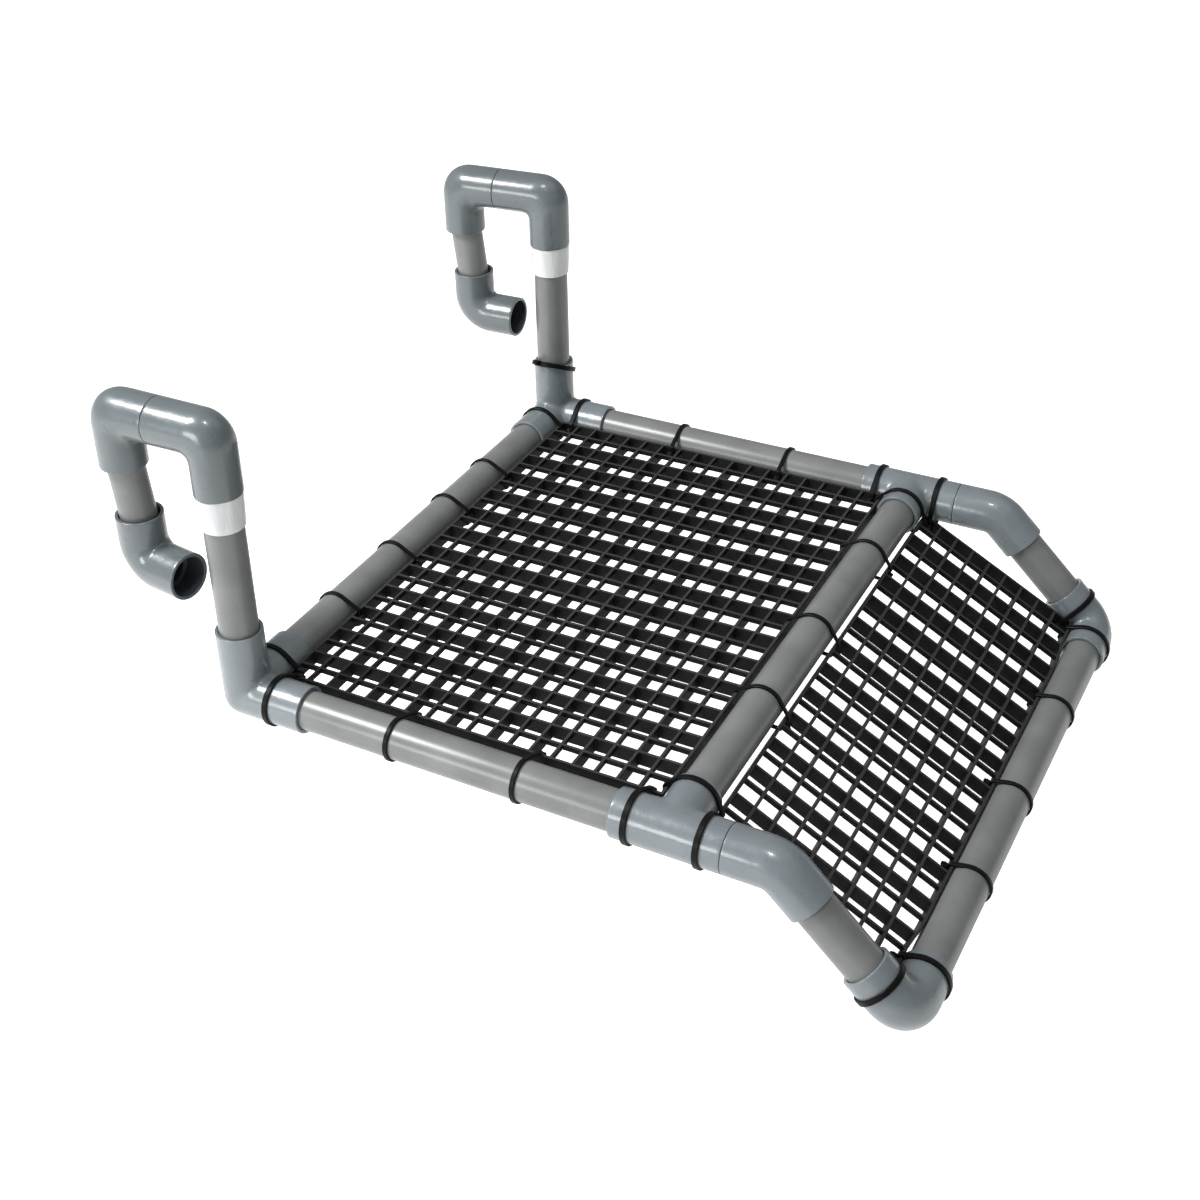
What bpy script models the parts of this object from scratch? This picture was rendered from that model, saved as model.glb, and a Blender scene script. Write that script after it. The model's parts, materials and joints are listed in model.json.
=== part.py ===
# Turtle basking platform that hangs by two hooks on the wall of a tank.
# Metres, +Z up. The origin is where the rim of the wall seats, midway between the hooks.
# +X points from the wall over the deck and down the ramp, and +Y to the right rail.

import math
from collections import namedtuple

import bmesh
import bpy
from mathutils import Matrix, Vector

# Pipe and fittings
pipe_diameter = 0.025
pipe_wall = 0.0021
drop_pipe_diameter = 0.0232
fitting_wall = 0.0022
fit_gap = 0.0003
socket_depth = 0.016
spigot_length = 0.0155
round_sides = 16

# Frame, between pipe axes
rail_spacing = 0.405
deck_length = 0.292
bend_offset = 0.0634
ramp_pipe_run = 0.1078
ramp_angle = math.radians(45)
hook_rise = 0.182
hook_reach = 0.0705
toe_lean = 0.005
toe_drop = 0.1026

# Each fitting's centre to its faces
corner_reach = 0.047
tee_reach = 0.034
bend_exit_reach = 0.0278
foot_reach_up = 0.0349
foot_reach_across = 0.036
inner_elbow_reach_down = 0.038
inner_elbow_reach_across = 0.0395
outer_elbow_reach_down = 0.0355
toe_reach_up = 0.0335
toe_reach = 0.0372

# The drop pipe is loose in its sockets and leans from the outer elbow to the toe
drop_pipe_slack = 0.0008
drop_pipe_end_gap = 0.0015

# How far each swivel stands turned in the photograph
hook_turns = {"left": 0, "right": math.radians(4)}
toe_turns = {"left": math.radians(-8), "right": math.radians(-2)}

# Bends of the fittings
top_elbow_inner_fillet = 0.004
top_elbow_outer_fillet = 0.0205
elbow_inner_fillet = 0.0015
elbow_outer_fillet = 0.030
ramp_bend_inner_fillet = 0.003
ramp_bend_outer_fillet = 0.024
junction_inset = 0.0004
waterway_start_share = 0.5
cut_overrun = 0.002

# Clear sleeve on the upright
sleeve_length = 0.022
sleeve_flare = 0.0012
sleeve_wall = 0.0008

# Nets
rib_width = 0.002
net_depth = 0.0097
shallow_depth = 0.0037
deck_net_top = 0.0045
ramp_net_top = 0.0038
deck_columns = 26
deck_rows = 18
ramp_rows = 9
deep_rib_step = 2
deck_rear_gap = 0.0032
deck_front_gap = 0.003
rail_edge_gap = 0.00575
ramp_upper_gap = 0.003
ramp_lower_gap = 0.0031
deck_shift = 0.0015
ramp_shift = 0.0026

# Cable ties
tie_width = 0.003
tie_thickness = 0.0014
tie_sides = 10
tie_head_length = 0.005
tie_head_width = 0.0045
tie_head_height = 0.0035
tie_head_side = 9
stray_tie_height = 0.042
stray_tie_tilt = math.radians(28)
stray_tie_heading = math.radians(92)
stray_tie_head_heading = math.radians(258)

# Sizes that follow from those above
pipe_radius = pipe_diameter / 2
drop_pipe_radius = drop_pipe_diameter / 2
waterway_radius = pipe_radius - pipe_wall
fitting_radius = pipe_radius + fit_gap + fitting_wall
socket_radius = (pipe_radius + fit_gap) / math.cos(math.pi / round_sides)
toe_set = hook_reach - toe_lean
glass_slot = toe_set - toe_reach - pipe_radius
bend_entry_reach = bend_offset - tee_reach - fit_gap
outer_elbow_reach_across = hook_reach - inner_elbow_reach_across - fit_gap
deck_start = pipe_radius + deck_rear_gap
deck_end = deck_length - pipe_radius - deck_front_gap
rail_edge_offset = pipe_radius + rail_edge_gap

# Places of the pipe axes
rear_x = glass_slot / 2 + pipe_radius
middle_x = rear_x + deck_length
bend_x = middle_x + bend_offset
front_x = bend_x + ramp_pipe_run * math.cos(ramp_angle)
hook_x = rear_x - hook_reach
toe_x = rear_x - toe_set
hook_z = fitting_radius
deck_z = hook_z - hook_rise
front_z = deck_z - ramp_pipe_run * math.sin(ramp_angle)
toe_z = hook_z - toe_drop
rail_y = rail_spacing / 2

forward = Vector((1, 0, 0))
rightward = Vector((0, 1, 0))
upward = Vector((0, 0, 1))
down_ramp = Vector((math.cos(ramp_angle), 0, -math.sin(ramp_angle)))

# The left rail is at -Y and the right rail at +Y
rails = {"left": -1, "right": 1}

# Colour, roughness and transparency of each kind of plastic
finishes = {
    "pipe": ((0.52, 0.52, 0.50), 0.42, 1.0),
    "fitting": ((0.36, 0.39, 0.42), 0.32, 1.0),
    "net": ((0.012, 0.012, 0.014), 0.38, 1.0),
    "tie": ((0.010, 0.010, 0.011), 0.35, 1.0),
    "sleeve": ((0.86, 0.88, 0.88), 0.20, 0.35),
}


def clear_scene():
    # Remove what the scene holds, so that only this model is in it
    for item in list(bpy.data.objects):
        bpy.data.objects.remove(item, do_unlink=True)


def plastic(name, finish):
    # A material of its own for one piece
    colour, roughness, alpha = finishes[finish]
    material = bpy.data.materials.new(name)
    material.use_nodes = True
    shader = material.node_tree.nodes["Principled BSDF"]
    shader.inputs["Base Color"].default_value = (*colour, 1)
    shader.inputs["Roughness"].default_value = roughness
    shader.inputs["Metallic"].default_value = 0
    shader.inputs["Alpha"].default_value = alpha
    material.diffuse_color = (*colour, alpha)
    return material


def parent_place(parent):
    # Where a chain of unturned parents stands in the world
    place = Vector((0, 0, 0))
    while parent is not None:
        place = place + parent.location
        parent = parent.parent
    return place


def add_piece(name, mesh, finish, place, parent=None, turn=None, smooth=True):
    # One finished sub-part, standing at a place in the world
    mesh.name = name
    piece = bpy.data.objects.new(name, mesh)
    bpy.context.scene.collection.objects.link(piece)
    mesh.materials.clear()
    mesh.materials.append(plastic(name, finish))
    if smooth:
        mesh.shade_smooth()
        mesh.set_sharp_from_angle(angle=math.radians(35))
    piece.parent = parent
    piece.location = place - parent_place(parent)
    if turn is not None:
        piece.rotation_mode = "QUATERNION"
        piece.rotation_quaternion = turn
    return piece


def add_axis(name, place, parent=None):
    # An empty on a joint's axis, which carries the pieces that turn with it
    axis = bpy.data.objects.new(name, None)
    bpy.context.scene.collection.objects.link(axis)
    axis.parent = parent
    axis.location = place - parent_place(parent)
    return axis


def mesh_from(shape):
    # Close a bmesh into a mesh with its faces pointing out
    bmesh.ops.recalc_face_normals(shape, faces=shape.faces)
    mesh = bpy.data.meshes.new("shape")
    shape.to_mesh(mesh)
    shape.free()
    return mesh


def ring(centre, across, side, across_radius, side_radius, count=round_sides):
    # Points of an ellipse about a centre, spanned by two unit directions
    points = []
    for step in range(count):
        angle = math.tau * step / count
        reach = across * (across_radius * math.cos(angle)) + side * (side_radius * math.sin(angle))
        points.append(centre + reach)
    return points


def skin(shape, rings, looped):
    # Join each ring of points to the next with quads, and cap the ends unless the last meets the first
    loops = [[shape.verts.new(point) for point in points] for points in rings]
    pairs = list(zip(loops, loops[1:]))
    if looped:
        pairs.append((loops[-1], loops[0]))
    for low, high in pairs:
        count = len(low)
        for step in range(count):
            after = (step + 1) % count
            shape.faces.new((low[step], low[after], high[after], high[step]))
    if not looped:
        shape.faces.new(list(reversed(loops[0])))
        shape.faces.new(loops[-1])


def turned(profile, looped=False):
    # A solid turned about +Z, from heights and radii in order
    shape = bmesh.new()
    rings = [ring(upward * height, forward, rightward, radius, radius) for height, radius in profile]
    skin(shape, rings, looped)
    return mesh_from(shape)


def helper(mesh, turn=None):
    # A passing object for a Boolean
    tool = bpy.data.objects.new("helper", mesh)
    bpy.context.scene.collection.objects.link(tool)
    tool.display_type = "WIRE"
    tool.hide_render = True
    if turn is not None:
        tool.rotation_mode = "QUATERNION"
        tool.rotation_quaternion = turn
    return tool


def combined(base, steps, solver="EXACT"):
    # Add and cut helpers in order, and return the mesh that results. Branches of one radius meet
    # in shared edges that the exact solver leaves open, so those fittings use the manifold one.
    for operation, tool in steps:
        modifier = base.modifiers.new(operation.lower(), "BOOLEAN")
        modifier.operation = operation
        modifier.solver = solver
        modifier.object = tool
    bpy.context.view_layer.update()
    evaluated = base.evaluated_get(bpy.context.evaluated_depsgraph_get())
    mesh = bpy.data.meshes.new_from_object(evaluated)
    mesh.transform(base.matrix_world)
    for tool in [base] + [tool for _, tool in steps]:
        bpy.data.objects.remove(tool, do_unlink=True)
    return mesh


def facing(direction):
    # The turn that brings +Z onto a direction, with +Y kept level where it can be
    return direction.to_track_quat("Z", "Y")


def pipe(name, start, end, parent=None, radius=pipe_radius):
    # A plain pipe from one end to the other
    run = end - start
    profile = [
        (0, radius - pipe_wall),
        (0, radius),
        (run.length, radius),
        (run.length, radius - pipe_wall),
    ]
    add_piece(name, turned(profile, looped=True), "pipe", start, parent, facing(run))


def pipe_inset(reach):
    # From a fitting's centre to the end of the pipe in its socket
    return reach - socket_depth + fit_gap


def bend_outside(turn, total, inner_fillet, outer_fillet):
    # From the pivot at the inside of a bend to its outer wall, along a ray turned from the entry.
    # The outer wall is two straight sides with an arc of the outer fillet's radius between them.
    side_distance = inner_fillet + 2 * fitting_radius
    half = total / 2
    arc_centre = (side_distance - outer_fillet) / math.cos(half)
    straight_until = math.atan2(arc_centre * math.sin(half), side_distance)
    if turn <= straight_until:
        return side_distance / math.cos(turn)
    if turn >= total - straight_until:
        return side_distance / math.cos(total - turn)
    offset = arc_centre * math.sin(turn - half)
    return arc_centre * math.cos(turn - half) + math.sqrt(outer_fillet**2 - offset**2)


def bent_fitting(entry, exit, entry_reach, exit_reach, inner_fillet, outer_fillet, spigot=False):
    # A hollow bend between two directions, with a socket at its exit and a socket or spigot at its
    # entry. The rings turn about a pivot at the inside of the bend.
    total = math.pi - entry.angle(exit)
    side = entry.cross(exit).normalized()
    entry_normal = (exit - entry * entry.dot(exit)).normalized()
    exit_normal = (entry - exit * entry.dot(exit)).normalized()
    start = (fitting_radius + inner_fillet) * math.tan(total / 2)
    pivot = entry * start + entry_normal * (fitting_radius + inner_fillet)

    def end_ring(direction, normal, reach, radius):
        return ring(direction * reach, -normal, side, radius, radius)

    def bend_ring(turn, wall):
        ray = -entry_normal * math.cos(turn) - entry * math.sin(turn)
        outside = bend_outside(turn, total, inner_fillet, outer_fillet)
        centre = pivot + ray * (inner_fillet + outside) / 2
        across = (outside - inner_fillet) / 2 - wall
        return ring(centre, ray, side, across, fitting_radius - wall)

    outer_steps = round(total / math.radians(22.5))
    bore_steps = round(total / math.radians(45))
    waterway_wall = fitting_radius - waterway_radius
    if spigot:
        tip = entry_reach + spigot_length
        rings = [
            end_ring(entry, entry_normal, tip, pipe_radius),
            end_ring(entry, entry_normal, entry_reach, pipe_radius),
            end_ring(entry, entry_normal, entry_reach, fitting_radius),
        ]
    else:
        rings = [end_ring(entry, entry_normal, entry_reach, fitting_radius)]
    for step in range(outer_steps + 1):
        rings.append(bend_ring(total * step / outer_steps, 0))
    rings.append(end_ring(exit, exit_normal, exit_reach, fitting_radius))
    rings.append(end_ring(exit, exit_normal, exit_reach, socket_radius))
    rings.append(end_ring(exit, exit_normal, exit_reach - socket_depth, socket_radius))
    rings.append(end_ring(exit, exit_normal, exit_reach - socket_depth, waterway_radius))
    for step in range(1, bore_steps):
        rings.append(bend_ring(total * (1 - step / bore_steps), waterway_wall))
    if spigot:
        rings.append(bend_ring(0, waterway_wall))
        rings.append(end_ring(entry, entry_normal, tip, waterway_radius))
    else:
        rings.append(end_ring(entry, entry_normal, entry_reach - socket_depth, waterway_radius))
        rings.append(end_ring(entry, entry_normal, entry_reach - socket_depth, socket_radius))
        rings.append(end_ring(entry, entry_normal, entry_reach, socket_radius))
    shape = bmesh.new()
    skin(shape, rings, looped=True)
    return mesh_from(shape)


def arm(reach, direction, start=0):
    # The outside of one straight branch of a fitting
    return helper(turned([(start, fitting_radius), (reach, fitting_radius)]), facing(direction))


def bore(reach, direction):
    # What is cut from one branch: its socket, and its waterway from beyond the centre
    profile = [
        (-waterway_radius * waterway_start_share, waterway_radius),
        (reach - socket_depth, waterway_radius),
        (reach - socket_depth, socket_radius),
        (reach + cut_overrun, socket_radius),
    ]
    return helper(turned(profile), facing(direction))


def corner_fitting(directions):
    # Three branches from one round junction
    shape = bmesh.new()
    radius = fitting_radius - junction_inset
    bmesh.ops.create_uvsphere(shape, u_segments=round_sides, v_segments=round_sides // 2, radius=radius)
    steps = [("UNION", arm(corner_reach, direction)) for direction in directions]
    steps += [("DIFFERENCE", bore(corner_reach, direction)) for direction in directions]
    return combined(helper(mesh_from(shape)), steps, solver="MANIFOLD")


def tee_fitting(branch):
    # A straight run along X with one branch
    steps = [("UNION", arm(tee_reach, branch))]
    steps += [("DIFFERENCE", bore(tee_reach, direction)) for direction in (forward, -forward, branch)]
    return combined(arm(tee_reach, forward, start=-tee_reach), steps, solver="MANIFOLD")


def clear_sleeve():
    # A sleeve tight on the pipe that widens up to the elbow's rim. Its origin is level with the rim.
    tight = pipe_radius + fit_gap
    wide = tight + sleeve_flare
    top = -fit_gap
    bottom = top - sleeve_length
    inside = [(bottom, tight), (top, wide)]
    outside = [(height, radius + sleeve_wall) for height, radius in inside]
    return turned(inside + list(reversed(outside)), looped=True)


# A net lies in a plane. Its corner is at the left of its upper edge, level with the pipe axes.
Net = namedtuple("Net", "corner along normal length width rows columns top")


def net_point(net, along, across, height):
    # A place on a net, from its corner, down its length, across it and above the plane of the axes
    return net.corner + net.along * along + rightward * across + net.normal * height


def cell_middle(length, cells, index):
    # The middle of one cell between the middles of the border ribs
    pitch = (length - rib_width) / cells
    return rib_width / 2 + pitch * (index + 1 / 2)


def deep_ribs(cells):
    # Every second rib is deep, and so is the last
    return sorted(set(range(0, cells + 1, deep_rib_step)) | {cells})


def rib_sides(length, cells, ribs):
    # Both sides of each of these ribs, in order
    pitch = (length - rib_width) / cells
    sides = []
    for line in ribs:
        sides += [pitch * line, pitch * line + rib_width]
    return sides


def sides_of(rib):
    # The numbers of a rib's two sides in the list of all ribs' sides
    return 2 * rib, 2 * rib + 1


def border_strip(shape, outer, inner):
    # Fan a border strip between two outer corners and a row of inner points
    half = len(inner) // 2
    for step in range(half):
        shape.faces.new((outer[0], inner[step], inner[step + 1]))
    shape.faces.new((outer[0], inner[half], outer[1]))
    for step in range(half, len(inner) - 1):
        shape.faces.new((outer[1], inner[step], inner[step + 1]))


def net_sheet(shape, corner, rows, columns):
    # One level of a net, from its border strips and the strips between its gaps. Its corners are
    # numbered by row and column, and the gaps lie between odd places and the next in both lists.
    for outer, inner in ((rows[0], rows[1]), (rows[-1], rows[-2])):
        edge = [corner(inner, column) for column in columns]
        border_strip(shape, (corner(outer, columns[0]), corner(outer, columns[-1])), edge)
    for outer, inner in ((columns[0], columns[1]), (columns[-1], columns[-2])):
        edge = [corner(row, inner) for row in rows[1:-1]]
        border_strip(shape, (corner(rows[1], outer), corner(rows[-2], outer)), edge)
    for i in range(1, len(rows) - 2):
        for j in range(1, len(columns) - 2):
            if i % 2 == 1 and j % 2 == 1:
                continue
            near, far = rows[i], rows[i + 1]
            left, right = columns[j], columns[j + 1]
            shape.faces.new((corner(near, left), corner(far, left), corner(far, right), corner(near, right)))


def net_mesh(net):
    # Of the ribs down the net every second one is shallow. Of those across it only the deep ones
    # are drawn.
    row_sides = rib_sides(net.length, net.rows, deep_ribs(net.rows))
    column_sides = rib_sides(net.width, net.columns, range(net.columns + 1))
    deep_columns = deep_ribs(net.columns)
    rows = list(range(len(row_sides)))
    columns = list(range(len(column_sides)))
    shape = bmesh.new()
    corners = {}

    def corner(row, column, depth):
        key = (row, column, depth)
        if key not in corners:
            corners[key] = shape.verts.new((row_sides[row], column_sides[column], net.top - depth))
        return corners[key]

    def top(row, column):
        return corner(row, column, 0)

    def low(row, column):
        return corner(row, column, net_depth)

    def middle(row, column):
        return corner(row, column, shallow_depth)

    net_sheet(shape, top, rows, columns)
    deep_sides = [side for rib in deep_columns for side in sides_of(rib)]
    net_sheet(shape, low, rows, deep_sides)
    last = columns[-1]
    for row in (rows[0], rows[-1]):
        shape.faces.new((top(row, 0), top(row, last), low(row, last), low(row, 0)))
    for side in (0, last):
        ends = (rows[0], rows[1], rows[-2], rows[-1])
        shape.faces.new([top(row, side) for row in ends] + [low(row, side) for row in reversed(ends)])
    for near in rows[1:-1:2]:
        far = near + 1
        for rib in range(net.columns + 1):
            left, right = sides_of(rib)
            under = low if rib in deep_columns else middle
            for side in {left, right} - {0, last}:
                shape.faces.new((top(near, side), top(far, side), under(far, side), under(near, side)))
            if under is middle:
                shape.faces.new((under(near, left), under(far, left), under(far, right), under(near, right)))
    for row in rows[1:-1]:
        for rib, after in zip(deep_columns, deep_columns[1:]):
            _, start = sides_of(rib)
            end, _ = sides_of(after)
            outline = [low(row, start), top(row, start)]
            for between in range(rib + 1, after):
                left, right = sides_of(between)
                outline += [top(row, left), middle(row, left), middle(row, right), top(row, right)]
            outline += [top(row, end), low(row, end)]
            shape.faces.new(outline)
    return mesh_from(shape)


def add_net(name, net):
    # The mesh is drawn with X down the net's length, and turned into the net's plane
    turn = Matrix((net.along, rightward, net.normal)).transposed().to_quaternion()
    add_piece(name, net_mesh(net), "net", net.corner, turn=turn, smooth=False)


def border_edges(net, border, place):
    # Where a border rib's four long edges pass one place along it, and the rib's direction
    low = net.top - net_depth
    far_along = net.length - rib_width
    far_across = net.width - rib_width
    spans = {
        "upper": ((0, rib_width), (place, place), rightward),
        "lower": ((far_along, net.length), (place, place), rightward),
        "left": ((place, place), (0, rib_width), net.along),
        "right": ((place, place), (far_across, net.width), net.along),
    }
    alongs, acrosses, direction = spans[border]
    sides = list(zip(alongs, acrosses))
    return [net_point(net, a, b, height) for a, b in sides for height in (low, net.top)], direction


def border_cell(net, border, index):
    # How far along a border one of its cells has its middle
    if border in ("upper", "lower"):
        return cell_middle(net.width, net.columns, index)
    return cell_middle(net.length, net.rows, index)


def tie_outline(reaches, sides):
    # Corners of the polygon whose sides lie at these distances, at even turns
    step = math.tau / sides
    corners = []
    for index in range(sides):
        here = step * index
        after = here + step
        near = reaches[index]
        far = reaches[(index + 1) % sides]
        across = (near * math.sin(after) - far * math.sin(here)) / math.sin(step)
        lift = (far * math.cos(here) - near * math.cos(after)) / math.sin(step)
        corners.append((across, lift))
    return corners


def add_tie(name, centre, axis, across, held):
    # One cable tie in a plane square to the axis, drawn tight around the points that it holds,
    # with its head under the border of the net
    lift = axis.cross(across).normalized()
    if lift.z < 0:
        lift = -lift
    step = math.tau / tie_sides
    flat = [((point - centre).dot(across), (point - centre).dot(lift)) for point in held]
    reaches = []
    for index in range(tie_sides):
        turn = step * index
        reach = max(a * math.cos(turn) + b * math.sin(turn) for a, b in flat)
        reaches.append(reach + fit_gap)
    inside = tie_outline(reaches, tie_sides)
    outside = tie_outline([reach + tie_thickness for reach in reaches], tie_sides)

    def loop(outline, offset):
        return [across * a + lift * b + axis * offset for a, b in outline]

    half = tie_width / 2
    shape = bmesh.new()
    skin(shape, [loop(inside, -half), loop(outside, -half), loop(outside, half), loop(inside, half)], True)
    head_turn = step * tie_head_side
    head_out = across * math.cos(head_turn) + lift * math.sin(head_turn)
    head_along = axis.cross(head_out).normalized()
    before = outside[tie_head_side - 1]
    after = outside[tie_head_side]
    seat_across = (before[0] + after[0]) / 2
    seat_lift = (before[1] + after[1]) / 2
    seat = across * seat_across + lift * seat_lift - head_out * (tie_thickness / 2)
    low = ring_box(seat, head_along, axis, tie_head_length, tie_head_width)
    high = [point + head_out * tie_head_height for point in low]
    head = bmesh.new()
    skin(head, [low, high], looped=False)
    mesh = combined(helper(mesh_from(shape)), [("UNION", helper(mesh_from(head)))])
    add_piece(name, mesh, "tie", centre, smooth=False)


def ring_box(centre, first, second, length, width):
    # The four corners of a rectangle
    signs = ((-1, -1), (1, -1), (1, 1), (-1, 1))
    return [centre + first * (a * length / 2) + second * (b * width / 2) for a, b in signs]


def band_points(points, direction, centre, normal):
    # Where lines in one direction pass the two faces of a tie's band
    half = tie_width / 2
    passed = []
    for point in points:
        for offset in (-half, half):
            travel = (offset - (point - centre).dot(normal)) / direction.dot(normal)
            passed.append(point + direction * travel)
    return passed


def round_points(axis_point, axis, radius):
    # Points around a pipe or socket
    side = axis.orthogonal().normalized()
    return ring(axis_point, side, axis.cross(side), radius, radius, 4 * tie_sides)


def add_net_tie(name, axis_point, axis, radius, holds):
    # A tie that binds one or two nets' borders to a pipe or a socket, at a cell of the first
    net, border, index = holds[0]
    rib, _ = border_edges(net, border, border_cell(net, border, index))
    middle = sum(rib, Vector((0, 0, 0))) / len(rib)
    centre = axis_point + axis * (middle - axis_point).dot(axis)
    if len(holds) > 1:
        centre = centre + axis * ((ramp_shift - deck_shift) / 2)
    toward = middle - centre
    across = (toward - axis * toward.dot(axis)).normalized()
    held = band_points(round_points(axis_point, axis, radius), axis, centre, axis)
    for net, border, index in holds:
        rib, direction = border_edges(net, border, border_cell(net, border, index))
        held += band_points(rib, direction, centre, axis)
    add_tie(name, centre, axis, across, held)


def deck_net_layout():
    # The deck's net, level between the rear and middle pipes
    length = deck_end - deck_start
    width = rail_spacing - 2 * rail_edge_offset
    corner = Vector((rear_x + deck_start, deck_shift - width / 2, deck_z))
    return Net(corner, forward, upward, length, width, deck_rows, deck_columns, deck_net_top)


def ramp_net_layout():
    # The ramp's net, in the plane of the middle and front pipes' axes
    top = Vector((middle_x, 0, deck_z))
    foot = Vector((front_x, 0, front_z))
    along = (foot - top).normalized()
    normal = along.cross(rightward)
    start = pipe_radius + ramp_upper_gap
    length = (foot - top).length - start - pipe_radius - ramp_lower_gap
    width = rail_spacing - 2 * rail_edge_offset
    corner = top + along * start + rightward * (ramp_shift - width / 2)
    return Net(corner, along, normal, length, width, ramp_rows, deck_columns, ramp_net_top)


def add_cross_pipes():
    # The pipes along Y, between the fittings of the two rails
    runs = {
        "rear_cross_pipe": (rear_x, deck_z, corner_reach),
        "middle_cross_pipe": (middle_x, deck_z, tee_reach),
        "front_cross_pipe": (front_x, front_z, foot_reach_across),
    }
    for name, (x, z, reach) in runs.items():
        half = rail_y - pipe_inset(reach)
        pipe(name, Vector((x, -half, z)), Vector((x, half, z)))


def add_rail(rail, sign):
    # The fittings and pipes of one rail, from the corner at the wall to the foot of the ramp
    y = sign * rail_y
    inward = rightward * -sign
    corner = Vector((rear_x, y, deck_z))
    tee = Vector((middle_x, y, deck_z))
    bend = Vector((bend_x, y, deck_z))
    foot = Vector((front_x, y, front_z))
    add_piece(f"{rail}_corner_fitting", corner_fitting((forward, inward, upward)), "fitting", corner)
    add_piece(f"{rail}_tee_fitting", tee_fitting(inward), "fitting", tee)
    bend_mesh = bent_fitting(
        -forward,
        down_ramp,
        bend_entry_reach,
        bend_exit_reach,
        ramp_bend_inner_fillet,
        ramp_bend_outer_fillet,
        spigot=True,
    )
    add_piece(f"{rail}_ramp_bend", bend_mesh, "fitting", bend)
    foot_mesh = bent_fitting(
        -down_ramp,
        inward,
        foot_reach_up,
        foot_reach_across,
        elbow_inner_fillet,
        elbow_outer_fillet,
    )
    add_piece(f"{rail}_foot_elbow", foot_mesh, "fitting", foot)
    side_start = corner + forward * pipe_inset(corner_reach)
    side_end = tee - forward * pipe_inset(tee_reach)
    pipe(f"{rail}_side_pipe", side_start, side_end)
    ramp_start = bend + down_ramp * pipe_inset(bend_exit_reach)
    ramp_end = foot - down_ramp * pipe_inset(foot_reach_up)
    pipe(f"{rail}_ramp_pipe", ramp_start, ramp_end)


def add_hook(rail, sign):
    # One hook. It turns on its upright in the corner's socket, and its toe turns on the drop pipe.
    y = sign * rail_y
    corner = Vector((rear_x, y, deck_z))
    inner = Vector((rear_x, y, hook_z))
    outer = Vector((hook_x, y, hook_z))
    toe = Vector((toe_x, y, toe_z))
    hook_axis = add_axis(f"{rail}_hook_axis", corner)
    toe_axis = add_axis(f"{rail}_toe_axis", toe, hook_axis)
    upright_start = corner + upward * pipe_inset(corner_reach)
    upright_end = inner - upward * pipe_inset(inner_elbow_reach_down)
    pipe(f"{rail}_upright_pipe", upright_start, upright_end, hook_axis)
    inner_mesh = bent_fitting(
        -upward,
        -forward,
        inner_elbow_reach_down,
        inner_elbow_reach_across,
        top_elbow_inner_fillet,
        top_elbow_outer_fillet,
    )
    add_piece(f"{rail}_inner_top_elbow", inner_mesh, "fitting", inner, hook_axis)
    outer_mesh = bent_fitting(
        forward,
        -upward,
        outer_elbow_reach_across,
        outer_elbow_reach_down,
        top_elbow_inner_fillet,
        top_elbow_outer_fillet,
        spigot=True,
    )
    add_piece(f"{rail}_outer_top_elbow", outer_mesh, "fitting", outer, hook_axis)
    lean = forward * drop_pipe_slack
    drop_start = outer - upward * (outer_elbow_reach_down - socket_depth + drop_pipe_end_gap) - lean
    drop_end = toe + upward * (toe_reach_up - socket_depth + drop_pipe_end_gap) + lean
    pipe(f"{rail}_hook_drop_pipe", drop_start, drop_end, hook_axis, drop_pipe_radius)
    rim = inner - upward * inner_elbow_reach_down
    add_piece(f"{rail}_clear_sleeve", clear_sleeve(), "sleeve", rim, hook_axis)
    toe_mesh = bent_fitting(
        upward,
        forward,
        toe_reach_up,
        toe_reach,
        elbow_inner_fillet,
        elbow_outer_fillet,
    )
    add_piece(f"{rail}_toe_elbow", toe_mesh, "fitting", toe, toe_axis)
    hook_axis.rotation_euler.z = hook_turns[rail]
    toe_axis.rotation_euler.z = toe_turns[rail]


def add_all_ties(deck, ramp):
    # The ties bind the nets' borders to the pipes and sockets, each in a cell of the net.
    # Cells count from the left border, or from the upper border on a rail.
    rear = Vector((rear_x, 0, deck_z))
    middle = Vector((middle_x, 0, deck_z))
    front = Vector((front_x, 0, front_z))
    last_column = deck_columns - 1
    last_row = deck_rows - 1
    cross_rails = {
        "rear": (rear, (0, 5, 10, 15, 19, last_column), [(deck, "upper")]),
        "middle": (middle, (0, 7, 13, 20, last_column), [(deck, "lower"), (ramp, "upper")]),
        "front": (front, (0, 6, 12, 19, last_column), [(ramp, "lower")]),
    }
    for rail, (axis_point, cells, borders) in cross_rails.items():
        for number, cell in enumerate(cells, start=1):
            radius = fitting_radius if cell in (0, last_column) else pipe_radius
            holds = [(net, border, cell) for net, border in borders]
            add_net_tie(f"{rail}_rail_tie_{number}", axis_point, rightward, radius, holds)
    for rail, sign in rails.items():
        side = rightward * (sign * rail_y)
        rail_cells = (0, 6, 12, last_row)
        for number, cell in enumerate(rail_cells, start=1):
            radius = fitting_radius if cell in (0, last_row) else pipe_radius
            add_net_tie(f"{rail}_rail_tie_{number}", rear + side, forward, radius, [(deck, rail, cell)])
        beside_tee = [(ramp, rail, 0)]
        add_net_tie(f"{rail}_tee_tie", middle + side, forward, fitting_radius, beside_tee)
        beside_foot = [(ramp, rail, ramp_rows - 1)]
        add_net_tie(f"{rail}_foot_tie", front + side, down_ramp, fitting_radius, beside_foot)


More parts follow.
